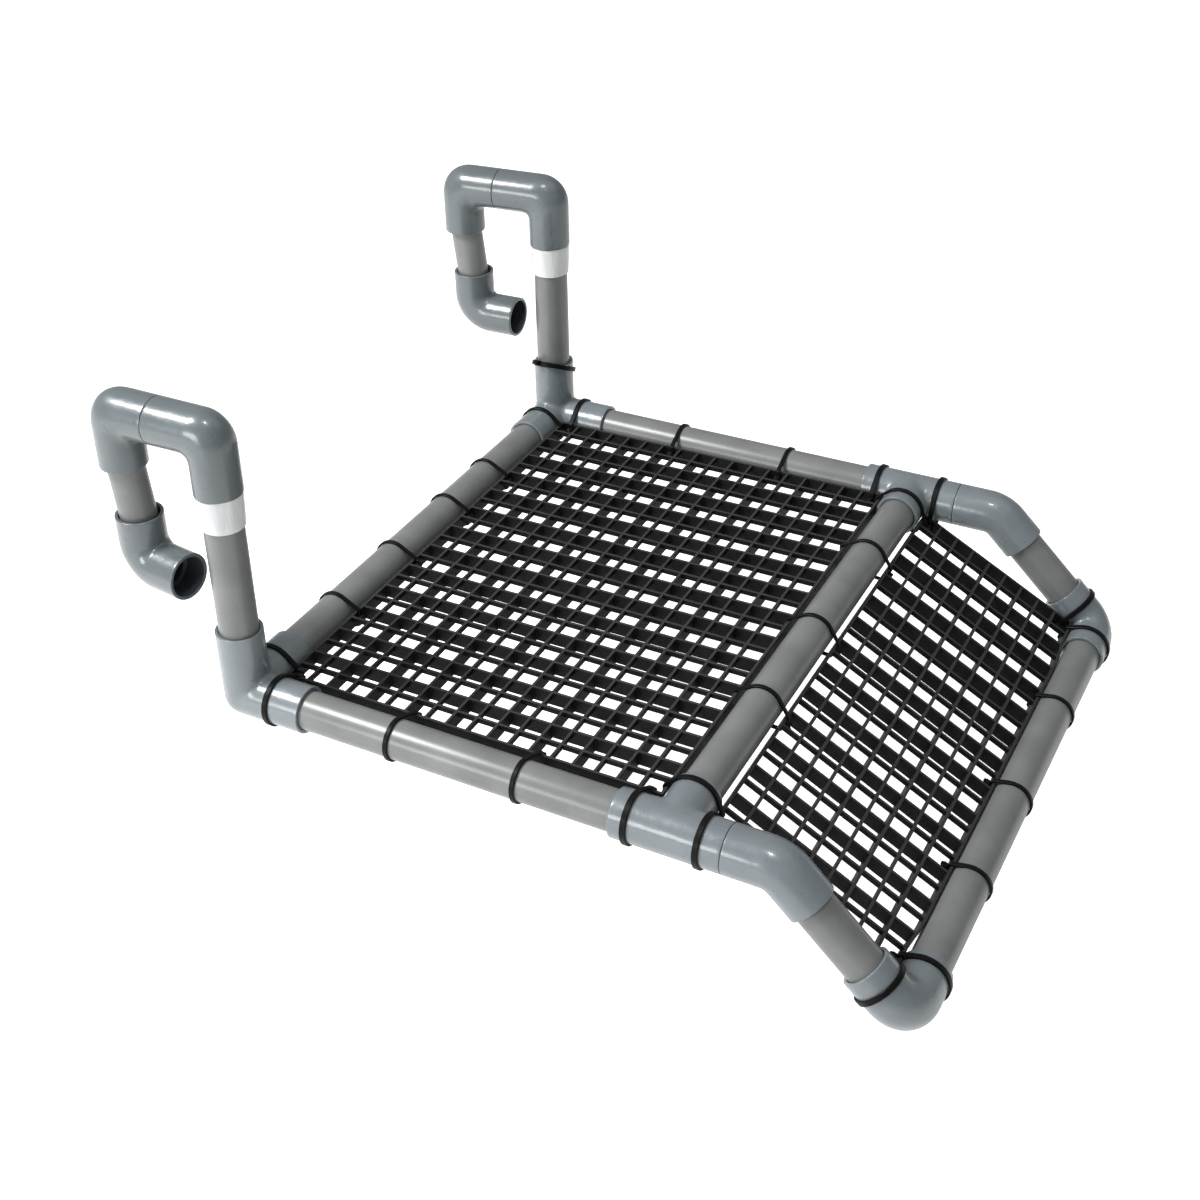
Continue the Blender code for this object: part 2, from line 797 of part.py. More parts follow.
def add_stray_tie():
    # One slanted tie around the right corner's upright socket
    centre = Vector((rear_x, rail_y, deck_z + stray_tie_height))
    lean = Vector((math.cos(stray_tie_heading), math.sin(stray_tie_heading), 0))
    axis = (upward * math.cos(stray_tie_tilt) + lean * math.sin(stray_tie_tilt)).normalized()
    toward = Vector((math.cos(stray_tie_head_heading), math.sin(stray_tie_head_heading), 0))
    across = (toward - axis * toward.dot(axis)).normalized()
    held = band_points(round_points(centre, upward, fitting_radius), upward, centre, axis)
    add_tie("stray_upright_tie", centre, axis, across, held)


def main():
    clear_scene()
    deck = deck_net_layout()
    ramp = ramp_net_layout()
    add_cross_pipes()
    for rail, sign in rails.items():
        add_rail(rail, sign)
        add_hook(rail, sign)
    add_net("deck_net", deck)
    add_net("ramp_net", ramp)
    add_all_ties(deck, ramp)
    add_stray_tie()


main()
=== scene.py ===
# Turtle basking platform that hangs on the wall of a tank: the finish of its pipes and fittings,
# its two full nets, its cable ties and clear sleeves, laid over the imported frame.
# Metres, +Z up. +X points over the deck and down the ramp, +Y to the right rail.

import json
import math

import bmesh
import bpy
import numpy as np
from mathutils import Matrix, Vector


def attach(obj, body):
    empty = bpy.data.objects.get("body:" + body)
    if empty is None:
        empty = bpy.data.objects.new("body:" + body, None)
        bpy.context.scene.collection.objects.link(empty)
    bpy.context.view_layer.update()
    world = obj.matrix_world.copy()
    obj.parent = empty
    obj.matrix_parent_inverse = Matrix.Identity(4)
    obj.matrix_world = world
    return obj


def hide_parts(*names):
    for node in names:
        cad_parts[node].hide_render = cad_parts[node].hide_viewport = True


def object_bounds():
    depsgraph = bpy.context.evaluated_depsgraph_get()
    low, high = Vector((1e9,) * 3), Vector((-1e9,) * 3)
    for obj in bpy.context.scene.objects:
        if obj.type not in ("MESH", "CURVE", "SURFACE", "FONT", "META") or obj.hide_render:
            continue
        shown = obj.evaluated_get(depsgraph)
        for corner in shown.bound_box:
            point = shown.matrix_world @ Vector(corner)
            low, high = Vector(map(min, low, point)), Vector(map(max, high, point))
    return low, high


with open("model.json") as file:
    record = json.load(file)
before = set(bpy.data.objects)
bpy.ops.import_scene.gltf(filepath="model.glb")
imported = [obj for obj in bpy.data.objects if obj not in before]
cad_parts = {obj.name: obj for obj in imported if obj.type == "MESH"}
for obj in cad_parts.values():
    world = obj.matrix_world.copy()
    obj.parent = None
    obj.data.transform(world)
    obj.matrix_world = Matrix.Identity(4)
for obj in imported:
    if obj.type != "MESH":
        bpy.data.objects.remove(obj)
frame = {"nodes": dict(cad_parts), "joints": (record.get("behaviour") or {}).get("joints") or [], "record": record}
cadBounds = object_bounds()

forward = np.array([1.0, 0.0, 0.0])
rightward = np.array([0.0, 1.0, 0.0])
upward = np.array([0.0, 0.0, 1.0])
rails = {"left": -1, "right": 1}  # the side of +Y on which each rail lies


# Numbers read from the frame

def meshPoints(thing):
    # every vertex of an object's mesh, one row each
    places = np.empty(len(thing.data.vertices) * 3, np.float32)
    thing.data.vertices.foreach_get("co", places)
    return places.reshape(-1, 3).astype(float)


def nodeSpan(node, direction):
    # the least and greatest reach of a CAD node along a direction
    reach = meshPoints(frame["nodes"][node]) @ direction
    return reach.min(), reach.max()


def pipeEnds(node, direction):
    # a pipe's two end centres: its points are parted halfway, and each half's box has its centre there
    points = meshPoints(frame["nodes"][node])
    reach = points @ direction
    far = reach > (reach.min() + reach.max()) / 2
    halves = [points[~far], points[far]]
    return [(half.min(axis=0) + half.max(axis=0)) / 2 for half in halves]


def jointPlace(name):
    # where a joint of the record has its axis
    return next(np.array(joint["pos_m"]) for joint in frame["joints"] if joint["name"] == name)


def mountAxis(name):
    # which way a mount of the record faces
    return next(np.array(mount["axis"]) for mount in frame["record"]["mounts"] if mount["name"] == name)


def unit(vector):
    # the vector over its own length
    return vector / np.linalg.norm(vector)


rearAxis = pipeEnds("rear_cross_pipe", rightward)[0]
middleAxis = pipeEnds("middle_cross_pipe", rightward)[0]
frontAxis = pipeEnds("front_cross_pipe", rightward)[0]
railY = pipeEnds("right_side_pipe", forward)[0][1]
deckZ = rearAxis[2]
downRamp = unit(np.subtract(*reversed(pipeEnds("right_ramp_pipe", forward))))
# the ramp pipes' line, followed up to the height of the deck
bendX = frontAxis[0] - (deckZ - frontAxis[2]) * downRamp[0] / -downRamp[2]


# Meshes

def gridQuads(rows, columns, closeRows, closeColumns):
    # each quad joins a grid point to its next neighbours down and across, and a closed side wraps round
    down = np.arange(rows if closeRows else rows - 1)
    across = np.arange(columns if closeColumns else columns - 1)
    i, j = np.meshgrid(down, across, indexing="ij")
    nextI = (i + 1) % rows
    nextJ = (j + 1) % columns
    corners = [i * columns + j, i * columns + nextJ, nextI * columns + nextJ, nextI * columns + j]
    return np.stack(corners, axis=-1).reshape(-1, 4)


def gridPatch(points, closeRows=False, closeColumns=False):
    # a grid of points as a pair of point list and quad list
    rows, columns = points.shape[:2]
    return points.reshape(-1, 3), gridQuads(rows, columns, closeRows, closeColumns)


def joined(patches):
    # several patches as one list of points and one of quads, each patch's numbers moved past the last's
    starts = np.cumsum([0] + [len(points) for points, _ in patches[:-1]])
    points = np.concatenate([points for points, _ in patches])
    quads = np.concatenate([quads + start for (_, quads), start in zip(patches, starts)])
    return points, quads


meshing = {"weld": 1e-6, "sharpAngle": 38}


def putObject(name, data):
    # an object at the origin, in the scene
    thing = bpy.data.objects.new(name, data)
    bpy.context.scene.collection.objects.link(thing)
    return thing


def putPiece(name, patches, material, body, smooth=True):
    # welds the patches into closed surfaces and lays them over the CAD node of the same name
    points, quads = joined(patches)
    mesh = bpy.data.meshes.new(name + "_skin")
    mesh.from_pydata(points.tolist(), [], quads.tolist())
    shape = bmesh.new()
    shape.from_mesh(mesh)
    bmesh.ops.remove_doubles(shape, verts=shape.verts, dist=meshing["weld"])
    bmesh.ops.recalc_face_normals(shape, faces=shape.faces)
    shape.to_mesh(mesh)
    shape.free()
    if smooth:
        mesh.shade_smooth()
        mesh.set_sharp_from_angle(angle=math.radians(meshing["sharpAngle"]))
    mesh.materials.append(material)
    piece = putObject(name + "_skin", mesh)
    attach(piece, body)
    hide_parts(name)
    return piece


def turnedAbout(points, place, turn):
    # turns points about the upright line through a place
    flat = points - place
    c, s = math.cos(turn), math.sin(turn)
    x = flat[..., 0] * c - flat[..., 1] * s
    y = flat[..., 0] * s + flat[..., 1] * c
    return np.stack([x, y, flat[..., 2]], axis=-1) + place


def ellipseRings(centres, across, side, acrossRadii, sideRadii, count):
    # Row by row: centre + across times a cosine + side times a sine, each with its own radius. The
    # two directions are one for all rows or one for each.
    turn = math.tau * np.arange(count) / count
    wide = acrossRadii[:, None] * np.cos(turn)
    deep = sideRadii[:, None] * np.sin(turn)
    across, side = (np.broadcast_to(line, centres.shape)[:, None] for line in (across, side))
    return centres[:, None] + across * wide[..., None] + side * deep[..., None]


def turnedRings(start, axis, across, reaches, radii, count):
    # a profile of reach and radius carried once round a straight axis
    centres = start + reaches[:, None] * axis
    return ellipseRings(centres, across, np.cross(axis, across), radii, radii, count)


def roundedCorners(corners, cuts, steps=4):
    # swaps each corner for the parabola from one cut to the other: (1-t)^2 A + 2t(1-t) C + t^2 B.
    # The profile is open, so the two ends stay as they are.
    corners = np.array(corners)
    cuts = np.array(cuts)[:, None]
    here = corners[1:-1]
    towardLast = corners[:-2] - here
    towardNext = corners[2:] - here
    a = here + towardLast / np.linalg.norm(towardLast, axis=1, keepdims=True) * cuts
    b = here + towardNext / np.linalg.norm(towardNext, axis=1, keepdims=True) * cuts
    t = np.linspace(0, 1, steps + 1)[None, :, None]
    arcs = (1 - t) ** 2 * a[:, None] + 2 * t * (1 - t) * here[:, None] + t**2 * b[:, None]
    profile = np.concatenate([corners[:1], arcs.reshape(-1, 2), corners[-1:]])
    return profile[:, 0], profile[:, 1]


# Materials

def newGroup(name, inputs, outputs):
    # an empty shader group with its sockets
    group = bpy.data.node_groups.new(name, "ShaderNodeTree")
    for socket, (kind, value) in inputs.items():
        made = group.interface.new_socket(socket, in_out="INPUT", socket_type=kind)
        made.default_value = value
    for socket, kind in outputs.items():
        group.interface.new_socket(socket, in_out="OUTPUT", socket_type=kind)
    return group


def addNode(tree, kind, values=None, **settings):
    # one node with its settings and its socket values
    node = tree.nodes.new(kind)
    for setting, value in settings.items():
        setattr(node, setting, value)
    for socket, value in (values or {}).items():
        node.inputs[socket].default_value = value
    return node


def mottleGroup():
    # cloudy value between two limits: noise at one size, squeezed to 0..1 and spread over low..high
    group = newGroup(
        "mottle",
        {
            "Vector": ("NodeSocketVector", (0, 0, 0)),
            "Scale": ("NodeSocketFloat", 50.0),
            "Detail": ("NodeSocketFloat", 3.0),
            "Low": ("NodeSocketFloat", 0.0),
            "High": ("NodeSocketFloat", 1.0),
        },
        {"Value": "NodeSocketFloat"},
    )
    start = addNode(group, "NodeGroupInput")
    end = addNode(group, "NodeGroupOutput")
    noise = addNode(group, "ShaderNodeTexNoise", {"Roughness": 0.55})
    spread = addNode(group, "ShaderNodeMapRange", {"From Min": 0.3, "From Max": 0.7})
    link = group.links.new
    for socket in ("Vector", "Scale", "Detail"):
        link(start.outputs[socket], noise.inputs[socket])
    link(noise.outputs["Fac"], spread.inputs["Value"])
    link(start.outputs["Low"], spread.inputs["To Min"])
    link(start.outputs["High"], spread.inputs["To Max"])
    link(spread.outputs["Result"], end.inputs["Value"])
    return group


def speckGroup():
    # sparse specks: the distance to scattered points, 1 at a point and 0 past the speck's size
    group = newGroup(
        "specks",
        {
            "Vector": ("NodeSocketVector", (0, 0, 0)),
            "Scale": ("NodeSocketFloat", 200.0),
            "Size": ("NodeSocketFloat", 0.12),
        },
        {"Value": "NodeSocketFloat"},
    )
    start = addNode(group, "NodeGroupInput")
    end = addNode(group, "NodeGroupOutput")
    cells = addNode(group, "ShaderNodeTexVoronoi")
    fade = addNode(group, "ShaderNodeMapRange", {"From Min": 0.0, "To Min": 1.0, "To Max": 0.0})
    link = group.links.new
    for socket in ("Vector", "Scale"):
        link(start.outputs[socket], cells.inputs[socket])
    link(cells.outputs["Distance"], fade.inputs["Value"])
    link(start.outputs["Size"], fade.inputs["From Max"])
    link(fade.outputs["Result"], end.inputs["Value"])
    return group


groups = {"mottle": mottleGroup(), "specks": speckGroup()}


def startMaterial(name, plain):
    # a Principled material with its plain socket values, and its object coordinates
    material = bpy.data.materials.new(name)
    material.use_nodes = True
    tree = material.node_tree
    shader = tree.nodes["Principled BSDF"]
    for socket, value in plain.items():
        shader.inputs[socket].default_value = value
    where = addNode(tree, "ShaderNodeTexCoord").outputs["Object"]
    return material, tree, shader, where


def mottle(tree, where, scale, detail=3.0, low=0.0, high=1.0):
    # the mottle group placed in a material with its own values
    node = addNode(tree, "ShaderNodeGroup", node_tree=groups["mottle"])
    for socket, value in (("Scale", scale), ("Detail", detail), ("Low", low), ("High", high)):
        node.inputs[socket].default_value = value
    tree.links.new(where, node.inputs["Vector"])
    return node.outputs["Value"]


def specks(tree, where, scale, size):
    # the specks group placed in a material with its own values
    node = addNode(tree, "ShaderNodeGroup", {"Scale": scale, "Size": size}, node_tree=groups["specks"])
    tree.links.new(where, node.inputs["Vector"])
    return node.outputs["Value"]


def colourMix(tree, factor, first, second):
    # first where the factor is 0 and second where it is 1
    node = addNode(tree, "ShaderNodeMix", data_type="RGBA")
    colourInputs = [socket for socket in node.inputs if socket.type == "RGBA"]
    factorInput = next(socket for socket in node.inputs if socket.type == "VALUE")
    tree.links.new(factor, factorInput)
    for socket, value in zip(colourInputs, (first, second)):
        if isinstance(value, tuple):
            socket.default_value = (*value, 1)
        else:
            tree.links.new(value, socket)
    return next(socket for socket in node.outputs if socket.type == "RGBA")


def roughen(tree, shader, where, scale, limits, detail=3.0):
    # roughness clouded between two limits
    tree.links.new(mottle(tree, where, scale, detail, *limits), shader.inputs["Roughness"])


def bump(tree, height, distance, onto=None):
    # a Bump node on a height, laid over another where there is one
    node = addNode(tree, "ShaderNodeBump", {"Strength": 1.0, "Distance": distance})
    tree.links.new(height, node.inputs["Height"])
    if onto is not None:
        tree.links.new(onto, node.inputs["Normal"])
    return node.outputs["Normal"]


pipeFinish = {
    "colour": (0.150, 0.158, 0.155),
    "pale": (0.192, 0.201, 0.197),
    "speck": (0.090, 0.095, 0.093),
    "roughness": (0.28, 0.32),
    "cloudScale": 38.0,
    "roughScale": 160.0,
    "speckScale": 260.0,
    "speckSize": 0.07,
    "streakAcross": 420.0,
    "streakAlong": 9.0,
    "streakHeight": 0.000005,
}


def pipeMaterial(name, axis):
    # Satin grey extruded pipe. Noise drawn out along the pipe makes its fine lengthwise lines.
    material, tree, shader, where = startMaterial(name, {"IOR": 1.5})
    turn = Vector(axis).rotation_difference(Vector((0, 0, 1))).to_euler()
    upright = addNode(tree, "ShaderNodeMapping", {"Rotation": turn})
    tree.links.new(where, upright.inputs["Vector"])
    ratio = pipeFinish["streakAlong"] / pipeFinish["streakAcross"]
    stretch = addNode(tree, "ShaderNodeMapping", {"Scale": (1, 1, ratio)})
    tree.links.new(upright.outputs["Vector"], stretch.inputs["Vector"])
    along = stretch.outputs["Vector"]
    streaks = mottle(tree, along, pipeFinish["streakAcross"], detail=4.0)
    clouds = mottle(tree, where, pipeFinish["cloudScale"], detail=4.0)
    colour = colourMix(tree, clouds, pipeFinish["colour"], pipeFinish["pale"])
    dark = specks(tree, where, pipeFinish["speckScale"], pipeFinish["speckSize"])
    colour = colourMix(tree, dark, colour, pipeFinish["speck"])
    tree.links.new(colour, shader.inputs["Base Color"])
    roughen(tree, shader, along, pipeFinish["roughScale"], pipeFinish["roughness"])
    normal = bump(tree, streaks, pipeFinish["streakHeight"])
    tree.links.new(normal, shader.inputs["Normal"])
    return material


fittingFinish = {
    "frame": {
        "colour": (0.147, 0.172, 0.185),
        "pale": (0.174, 0.201, 0.216),
        "speck": (0.190, 0.212, 0.225),
    },
    # a darker copy of the frame's colours: painted shade on the hook fittings
    "hook": {
        "colour": (0.095, 0.114, 0.121),
        "pale": (0.113, 0.134, 0.142),
        "speck": (0.130, 0.148, 0.157),
    },
    "roughness": (0.27, 0.36),
    "coat": 0.5,
    "coatRoughness": 0.13,
    # the colour of the painted shade inside an open mouth
    "bore": (0.050, 0.056, 0.068),
    "cloudScale": 30.0,
    "roughScale": 120.0,
    "speckScale": 310.0,
    "speckSize": 0.06,
    "waveScale": 95.0,
    "waveHeight": 0.00018,
    "peelScale": 900.0,
    "peelHeight": 0.00002,
}


def fittingMaterial(name, shade):
    # Glossy moulded fitting, bluer than the pipe. Slow waves break up its highlights as sinks in a
    # thick moulding do, and a fine peel lies over them. The bore attribute darkens an open mouth's
    # inside with painted shade.
    plain = {"IOR": 1.52, "Coat Weight": fittingFinish["coat"],
             "Coat Roughness": fittingFinish["coatRoughness"]}
    material, tree, shader, where = startMaterial(name, plain)
    clouds = mottle(tree, where, fittingFinish["cloudScale"], detail=4.0)
    colour = colourMix(tree, clouds, shade["colour"], shade["pale"])
    pale = specks(tree, where, fittingFinish["speckScale"], fittingFinish["speckSize"])
    colour = colourMix(tree, pale, colour, shade["speck"])
    # painted shade: the bore attribute darkens the inside of the toes' open mouths
    depth = addNode(tree, "ShaderNodeAttribute", attribute_name="bore").outputs["Fac"]
    colour = colourMix(tree, depth, colour, fittingFinish["bore"])
    tree.links.new(colour, shader.inputs["Base Color"])
    roughen(tree, shader, where, fittingFinish["roughScale"], fittingFinish["roughness"])
    waves = mottle(tree, where, fittingFinish["waveScale"], detail=2.0)
    peel = mottle(tree, where, fittingFinish["peelScale"], detail=2.0)
    normal = bump(tree, waves, fittingFinish["waveHeight"])
    normal = bump(tree, peel, fittingFinish["peelHeight"], onto=normal)
    tree.links.new(normal, shader.inputs["Normal"])
    return material


blackFinish = {
    "net": {
        "colour": (0.003, 0.0032, 0.0034),
        "pale": (0.008, 0.0083, 0.0085),
        # painted top light on faces that look up
        "top": (0.040, 0.0415, 0.0395),
        "roughness": (0.50, 0.62),
        "gloss": 0.09,
        "grain": 700.0,
    },
    "tie": {
        "colour": (0.002, 0.002, 0.0023),
        "pale": (0.005, 0.005, 0.0055),
        # painted top light on faces that look up
        "top": (0.005, 0.005, 0.0055),
        "roughness": (0.36, 0.48),
        "gloss": 0.12,
        "grain": 900.0,
    },
    "paintedTopLightMask": (0.55, 0.8),  # how far up normals point where the painted top light starts, and where it is full
    "cloudScale": 60.0,
    "roughScale": 90.0,
    "grainHeight": 0.00002,
}


def blackMaterial(name, finish):
    # Black moulded plastic, a little dusty in patches, with a fine grain. Faces that look up are paled
    # with painted top light: the mask is how far the surface normal points up.
    plain = {"IOR": 1.5, "Specular IOR Level": finish["gloss"]}
    material, tree, shader, where = startMaterial(name, plain)
    clouds = mottle(tree, where, blackFinish["cloudScale"], detail=5.0)
    colour = colourMix(tree, clouds, finish["colour"], finish["pale"])
    # painted top light: faces whose normal points up are paled
    level = addNode(tree, "ShaderNodeSeparateXYZ")
    tree.links.new(addNode(tree, "ShaderNodeTexCoord").outputs["Normal"], level.inputs["Vector"])
    low, high = blackFinish["paintedTopLightMask"]
    up = addNode(tree, "ShaderNodeMapRange", {"From Min": low, "From Max": high})
    tree.links.new(level.outputs["Z"], up.inputs["Value"])
    colour = colourMix(tree, up.outputs["Result"], colour, finish["top"])
    tree.links.new(colour, shader.inputs["Base Color"])
    roughen(tree, shader, where, blackFinish["roughScale"], finish["roughness"])
    grain = mottle(tree, where, finish["grain"], detail=2.0)
    tree.links.new(bump(tree, grain, blackFinish["grainHeight"]), shader.inputs["Normal"])
    return material


sleeveFinish = {
    "clear": (0.97, 0.98, 0.98),
    "cloudy": (0.80, 0.82, 0.83),
    "roughness": (0.12, 0.26),
    "seeThrough": 0.30,
    "creaseScale": 170.0,
    "creaseStretch": 0.2,
    "creaseHeight": 0.0003,
    "roughScale": 130.0,
}


def sleeveMaterial():
    # Cloudy clear vinyl, partly see-through. Noise drawn out upwards makes its creases.
    plain = {"IOR": 1.45, "Transmission Weight": sleeveFinish["seeThrough"]}
    material, tree, shader, where = startMaterial("clearVinyl", plain)
    stretch = addNode(tree, "ShaderNodeMapping", {"Scale": (1, 1, sleeveFinish["creaseStretch"])})
    tree.links.new(where, stretch.inputs["Vector"])
    creases = mottle(tree, stretch.outputs["Vector"], sleeveFinish["creaseScale"])
    colour = colourMix(tree, creases, sleeveFinish["clear"], sleeveFinish["cloudy"])
    tree.links.new(colour, shader.inputs["Base Color"])
    roughen(tree, shader, where, sleeveFinish["roughScale"], sleeveFinish["roughness"], detail=2.0)
    tree.links.new(bump(tree, creases, sleeveFinish["creaseHeight"]), shader.inputs["Normal"])
    return material


pipeAxes = {
    "pipeAlongX": forward,
    "pipeAlongY": rightward,
    "pipeUpright": upward,
    "pipeDownRamp": downRamp,
}
materials = {
    **{name: pipeMaterial(name, axis) for name, axis in pipeAxes.items()},
    "frameFitting": fittingMaterial("fittingGrey", fittingFinish["frame"]),
    "hookFittingShaded": fittingMaterial("fittingPaintedShade", fittingFinish["hook"]),
    "net": blackMaterial("netBlack", blackFinish["net"]),
    "tie": blackMaterial("tieBlack", blackFinish["tie"]),
    "sleeve": sleeveMaterial(),
}
print("materials made:", len(materials))


# Pipes

pipeShape = {"radius": 0.0125, "dropRadius": 0.0116, "wall": 0.0021, "edge": 0.0005, "sides": 64}


def addPipe(node, direction, material, body, radius=pipeShape["radius"]):
    # a rounded wall section carried round the line between the pipe's two end centres
    start, end = pipeEnds(node, direction)
    axis = unit(end - start)
    length = np.linalg.norm(end - start)
    inner = radius - pipeShape["wall"]
    middle = length / 2
    outside = [(0, radius), (length, radius)]
    corners = [(middle, inner), (0, inner), *outside, (length, inner), (middle, inner)]
    reaches, radii = roundedCorners(corners, [pipeShape["edge"]] * 4)
    across = unit(np.cross(axis, rightward if abs(axis[1]) < 0.5 else forward))
    rings = turnedRings(start, axis, across, reaches[:-1], radii[:-1], pipeShape["sides"])
    patch = gridPatch(rings, closeRows=True, closeColumns=True)
    putPiece(node, [patch], materials[material], body)


for name in ("rear_cross_pipe", "middle_cross_pipe", "front_cross_pipe"):
    addPipe(name, rightward, "pipeAlongY", "platform")
for rail in rails:
    addPipe(f"{rail}_side_pipe", forward, "pipeAlongX", "platform")
    addPipe(f"{rail}_ramp_pipe", forward, "pipeDownRamp", "platform")
    addPipe(f"{rail}_upright_pipe", upward, "pipeUpright", f"{rail}_hook")
    addPipe(f"{rail}_hook_drop_pipe", upward, "pipeUpright", f"{rail}_hook", pipeShape["dropRadius"])
print("pipes laid")


# Fittings

fittingShape = {
    "radius": 0.0150,
    "socket": 0.0128,
    "waterway": 0.0104,
    "depth": 0.016,
    "spigotRadius": 0.0125,
    "spigotLength": 0.0155,
    "lip": 0.002,          # straight stretch behind a mouth's edge
    "outerEdge": 0.0005,   # rounding of a mouth's outer and inner edges
    "innerEdge": 0.0007,
    "cornerEdge": 0.0003,
    "crotch": 0.0034,      # how far the branches' surfaces flow into each other
    "crotchFade": 0.002,
    "shadeFade": 0.0008,   # how soon the painted shade in a bore turns dark behind its mouth
    "quarterSides": 16,
    "branchSteps": 22,
}


def endProfile(reach, spigot=False):
    # From the outside of a branch to its waterway: round the mouth, down the socket and over its
    # stop, or down the shoulder, along the spigot and round its tip.
    s = fittingShape
    if spigot:
        step, end = s["spigotRadius"], reach + s["spigotLength"]
        cuts = [s["outerEdge"], s["cornerEdge"], s["outerEdge"], s["outerEdge"]]
    else:
        step, end = s["socket"], reach - s["depth"]
        cuts = [s["outerEdge"], s["innerEdge"], s["cornerEdge"], s["cornerEdge"]]
    outside = [(reach - s["lip"], s["radius"]), (reach, s["radius"])]
    inside = [(end, s["waterway"]), (end - s["lip"], s["waterway"])]
    return roundedCorners([*outside, (reach, step), (end, step), *inside], cuts)


def flowedDistance(directions, branches, radius, crotch):
    # How far the joined branches reach from their centre: radius / sine of the angle to a branch's
    # axis, or the radius where the branch points away. Near a crease the two nearest flow together.
    # The clips keep both divisions clear of nought.
    reach = np.full(directions.shape[:-1], radius)
    for branch in branches:
        toward = np.clip(directions @ branch, 0, 0.9999)
        other = radius / np.sqrt(1 - toward**2)
        over = np.minimum(reach, other) - radius
        width = crotch * np.clip(over / fittingShape["crotchFade"], 1e-6, 1)
        near = np.clip(1 - np.abs(reach - other) / width, 0, 1)
        reach = np.maximum(reach, other) + near**2 * width / 4
    return reach


def ringTurns():
    # the angles round a branch, from one corner of the cube's square side
    count = 4 * fittingShape["quarterSides"]
    return math.tau * (np.arange(count) / count) - math.tau / 8


def wallPatches(centre, axes, reaches, radius, ends, crotch):
    # One patch for each side of a cube about the centre. On a side with a branch, rows run from the
    # branch's ring out to the side's square edge. On a bare side the grid has even angles both ways.
    branches = [sign * axes[index] for (index, sign) in reaches]
    patches = []
    for index in range(3):
        for sign in (-1, 1):
            out = sign * axes[index]
            u = axes[(index + 1) % 3]
            v = axes[(index + 2) % 3]
            if (index, sign) in reaches:
                turn = ringTurns()
                edge = radius * np.maximum(np.abs(np.cos(turn)), np.abs(np.sin(turn)))
                share = np.linspace(0, 1, fittingShape["branchSteps"])[:, None]
                along = ends[index, sign] * (1 - share) + edge * share
                slope = radius / along
                rays = out + (slope * np.cos(turn))[..., None] * u + (slope * np.sin(turn))[..., None] * v
            else:
                lean = np.tan(np.linspace(-math.tau / 8, math.tau / 8, fittingShape["quarterSides"] + 1))
                rays = out + lean[:, None, None] * u + lean[None, :, None] * v
            rays = rays / np.linalg.norm(rays, axis=-1, keepdims=True)
            distance = flowedDistance(rays, branches, radius, crotch)
            points = centre + rays * distance[..., None]
            patches.append(gridPatch(points, closeColumns=(index, sign) in reaches))
    return patches


def junctionPatches(centre, axes, reaches):
    # A fitting whose branches meet square in one point: its outside, its waterway, and between them
    # the mouth of each branch.
    s = fittingShape
    outerEnds = {key: reach - s["lip"] for key, reach in reaches.items()}
    innerEnds = {key: reach - s["depth"] - s["lip"] for key, reach in reaches.items()}
    patches = wallPatches(centre, axes, reaches, s["radius"], outerEnds, s["crotch"])
    patches += wallPatches(centre, axes, reaches, s["waterway"], innerEnds, s["cornerEdge"])
    turn = ringTurns()
    for (index, sign), reach in reaches.items():
        along, radii = endProfile(reach)
        u = axes[(index + 1) % 3]
        v = axes[(index + 2) % 3]
        circle = np.cos(turn)[:, None] * u + np.sin(turn)[:, None] * v
        rings = centre + along[:, None, None] * sign * axes[index] + radii[:, None, None] * circle
        patches.append(gridPatch(rings, closeColumns=True))
    return patches


def bendReach(turn, total, innerFillet, outerFillet):
    # From the pivot inside a bend to its outer wall, on a ray turned from the entry. The wall is two
    # straight sides, at side / cosine of the turn, with an arc of the outer fillet between them.
    side = innerFillet + 2 * fittingShape["radius"]
    half = total / 2
    arcCentre = (side - outerFillet) / math.cos(half)
    straightUntil = math.atan2(arcCentre * math.sin(half), side)
    offset = arcCentre * np.sin(turn - half)
    rise = np.sqrt(outerFillet**2 - np.minimum(offset**2, outerFillet**2))
    arc = arcCentre * np.cos(turn - half) + rise
    ends = side / np.cos(np.minimum(turn, total - turn))
    return np.where(np.minimum(turn, total - turn) <= straightUntil, ends, arc)


bendShape = {"steps": 28, "sides": 64}


def bentPatches(centre, entry, exit, entryReach, exitReach, fillets, spigot=False):
    # A swept bend: rings down the entry, about the pivot and down the exit, outside and then back
    # through the waterway.
    s = fittingShape
    innerFillet, outerFillet = fillets
    total = math.pi - math.acos(np.dot(entry, exit))
    side = unit(np.cross(entry, exit))
    entryNormal = unit(exit - entry * np.dot(entry, exit))
    exitNormal = unit(entry - exit * np.dot(entry, exit))
    start = (s["radius"] + innerFillet) * math.tan(total / 2)
    pivot = centre + entry * start + entryNormal * (s["radius"] + innerFillet)
    count = bendShape["sides"]

    def bendRings(wall):
        turn = np.linspace(0, total, bendShape["steps"])
        rays = -entryNormal * np.cos(turn)[:, None] - entry * np.sin(turn)[:, None]
        outside = bendReach(turn, total, innerFillet, outerFillet)
        centres = pivot + rays * ((innerFillet + outside) / 2)[:, None]
        sideRadii = np.full(len(turn), s["radius"] - wall)
        return ellipseRings(centres, rays, side, (outside - innerFillet) / 2 - wall, sideRadii, count)

    def endRings(direction, normal, profile):
        along, radii = profile
        centres = centre + along[:, None] * direction
        return ellipseRings(centres, -normal, side, radii, radii, count)

    rings = [
        endRings(entry, entryNormal, endProfile(entryReach, spigot))[::-1],
        bendRings(0),
        endRings(exit, exitNormal, endProfile(exitReach)),
        bendRings(s["radius"] - s["waterway"])[::-1],
    ]
    return [gridPatch(np.concatenate(rings), closeRows=True, closeColumns=True)]


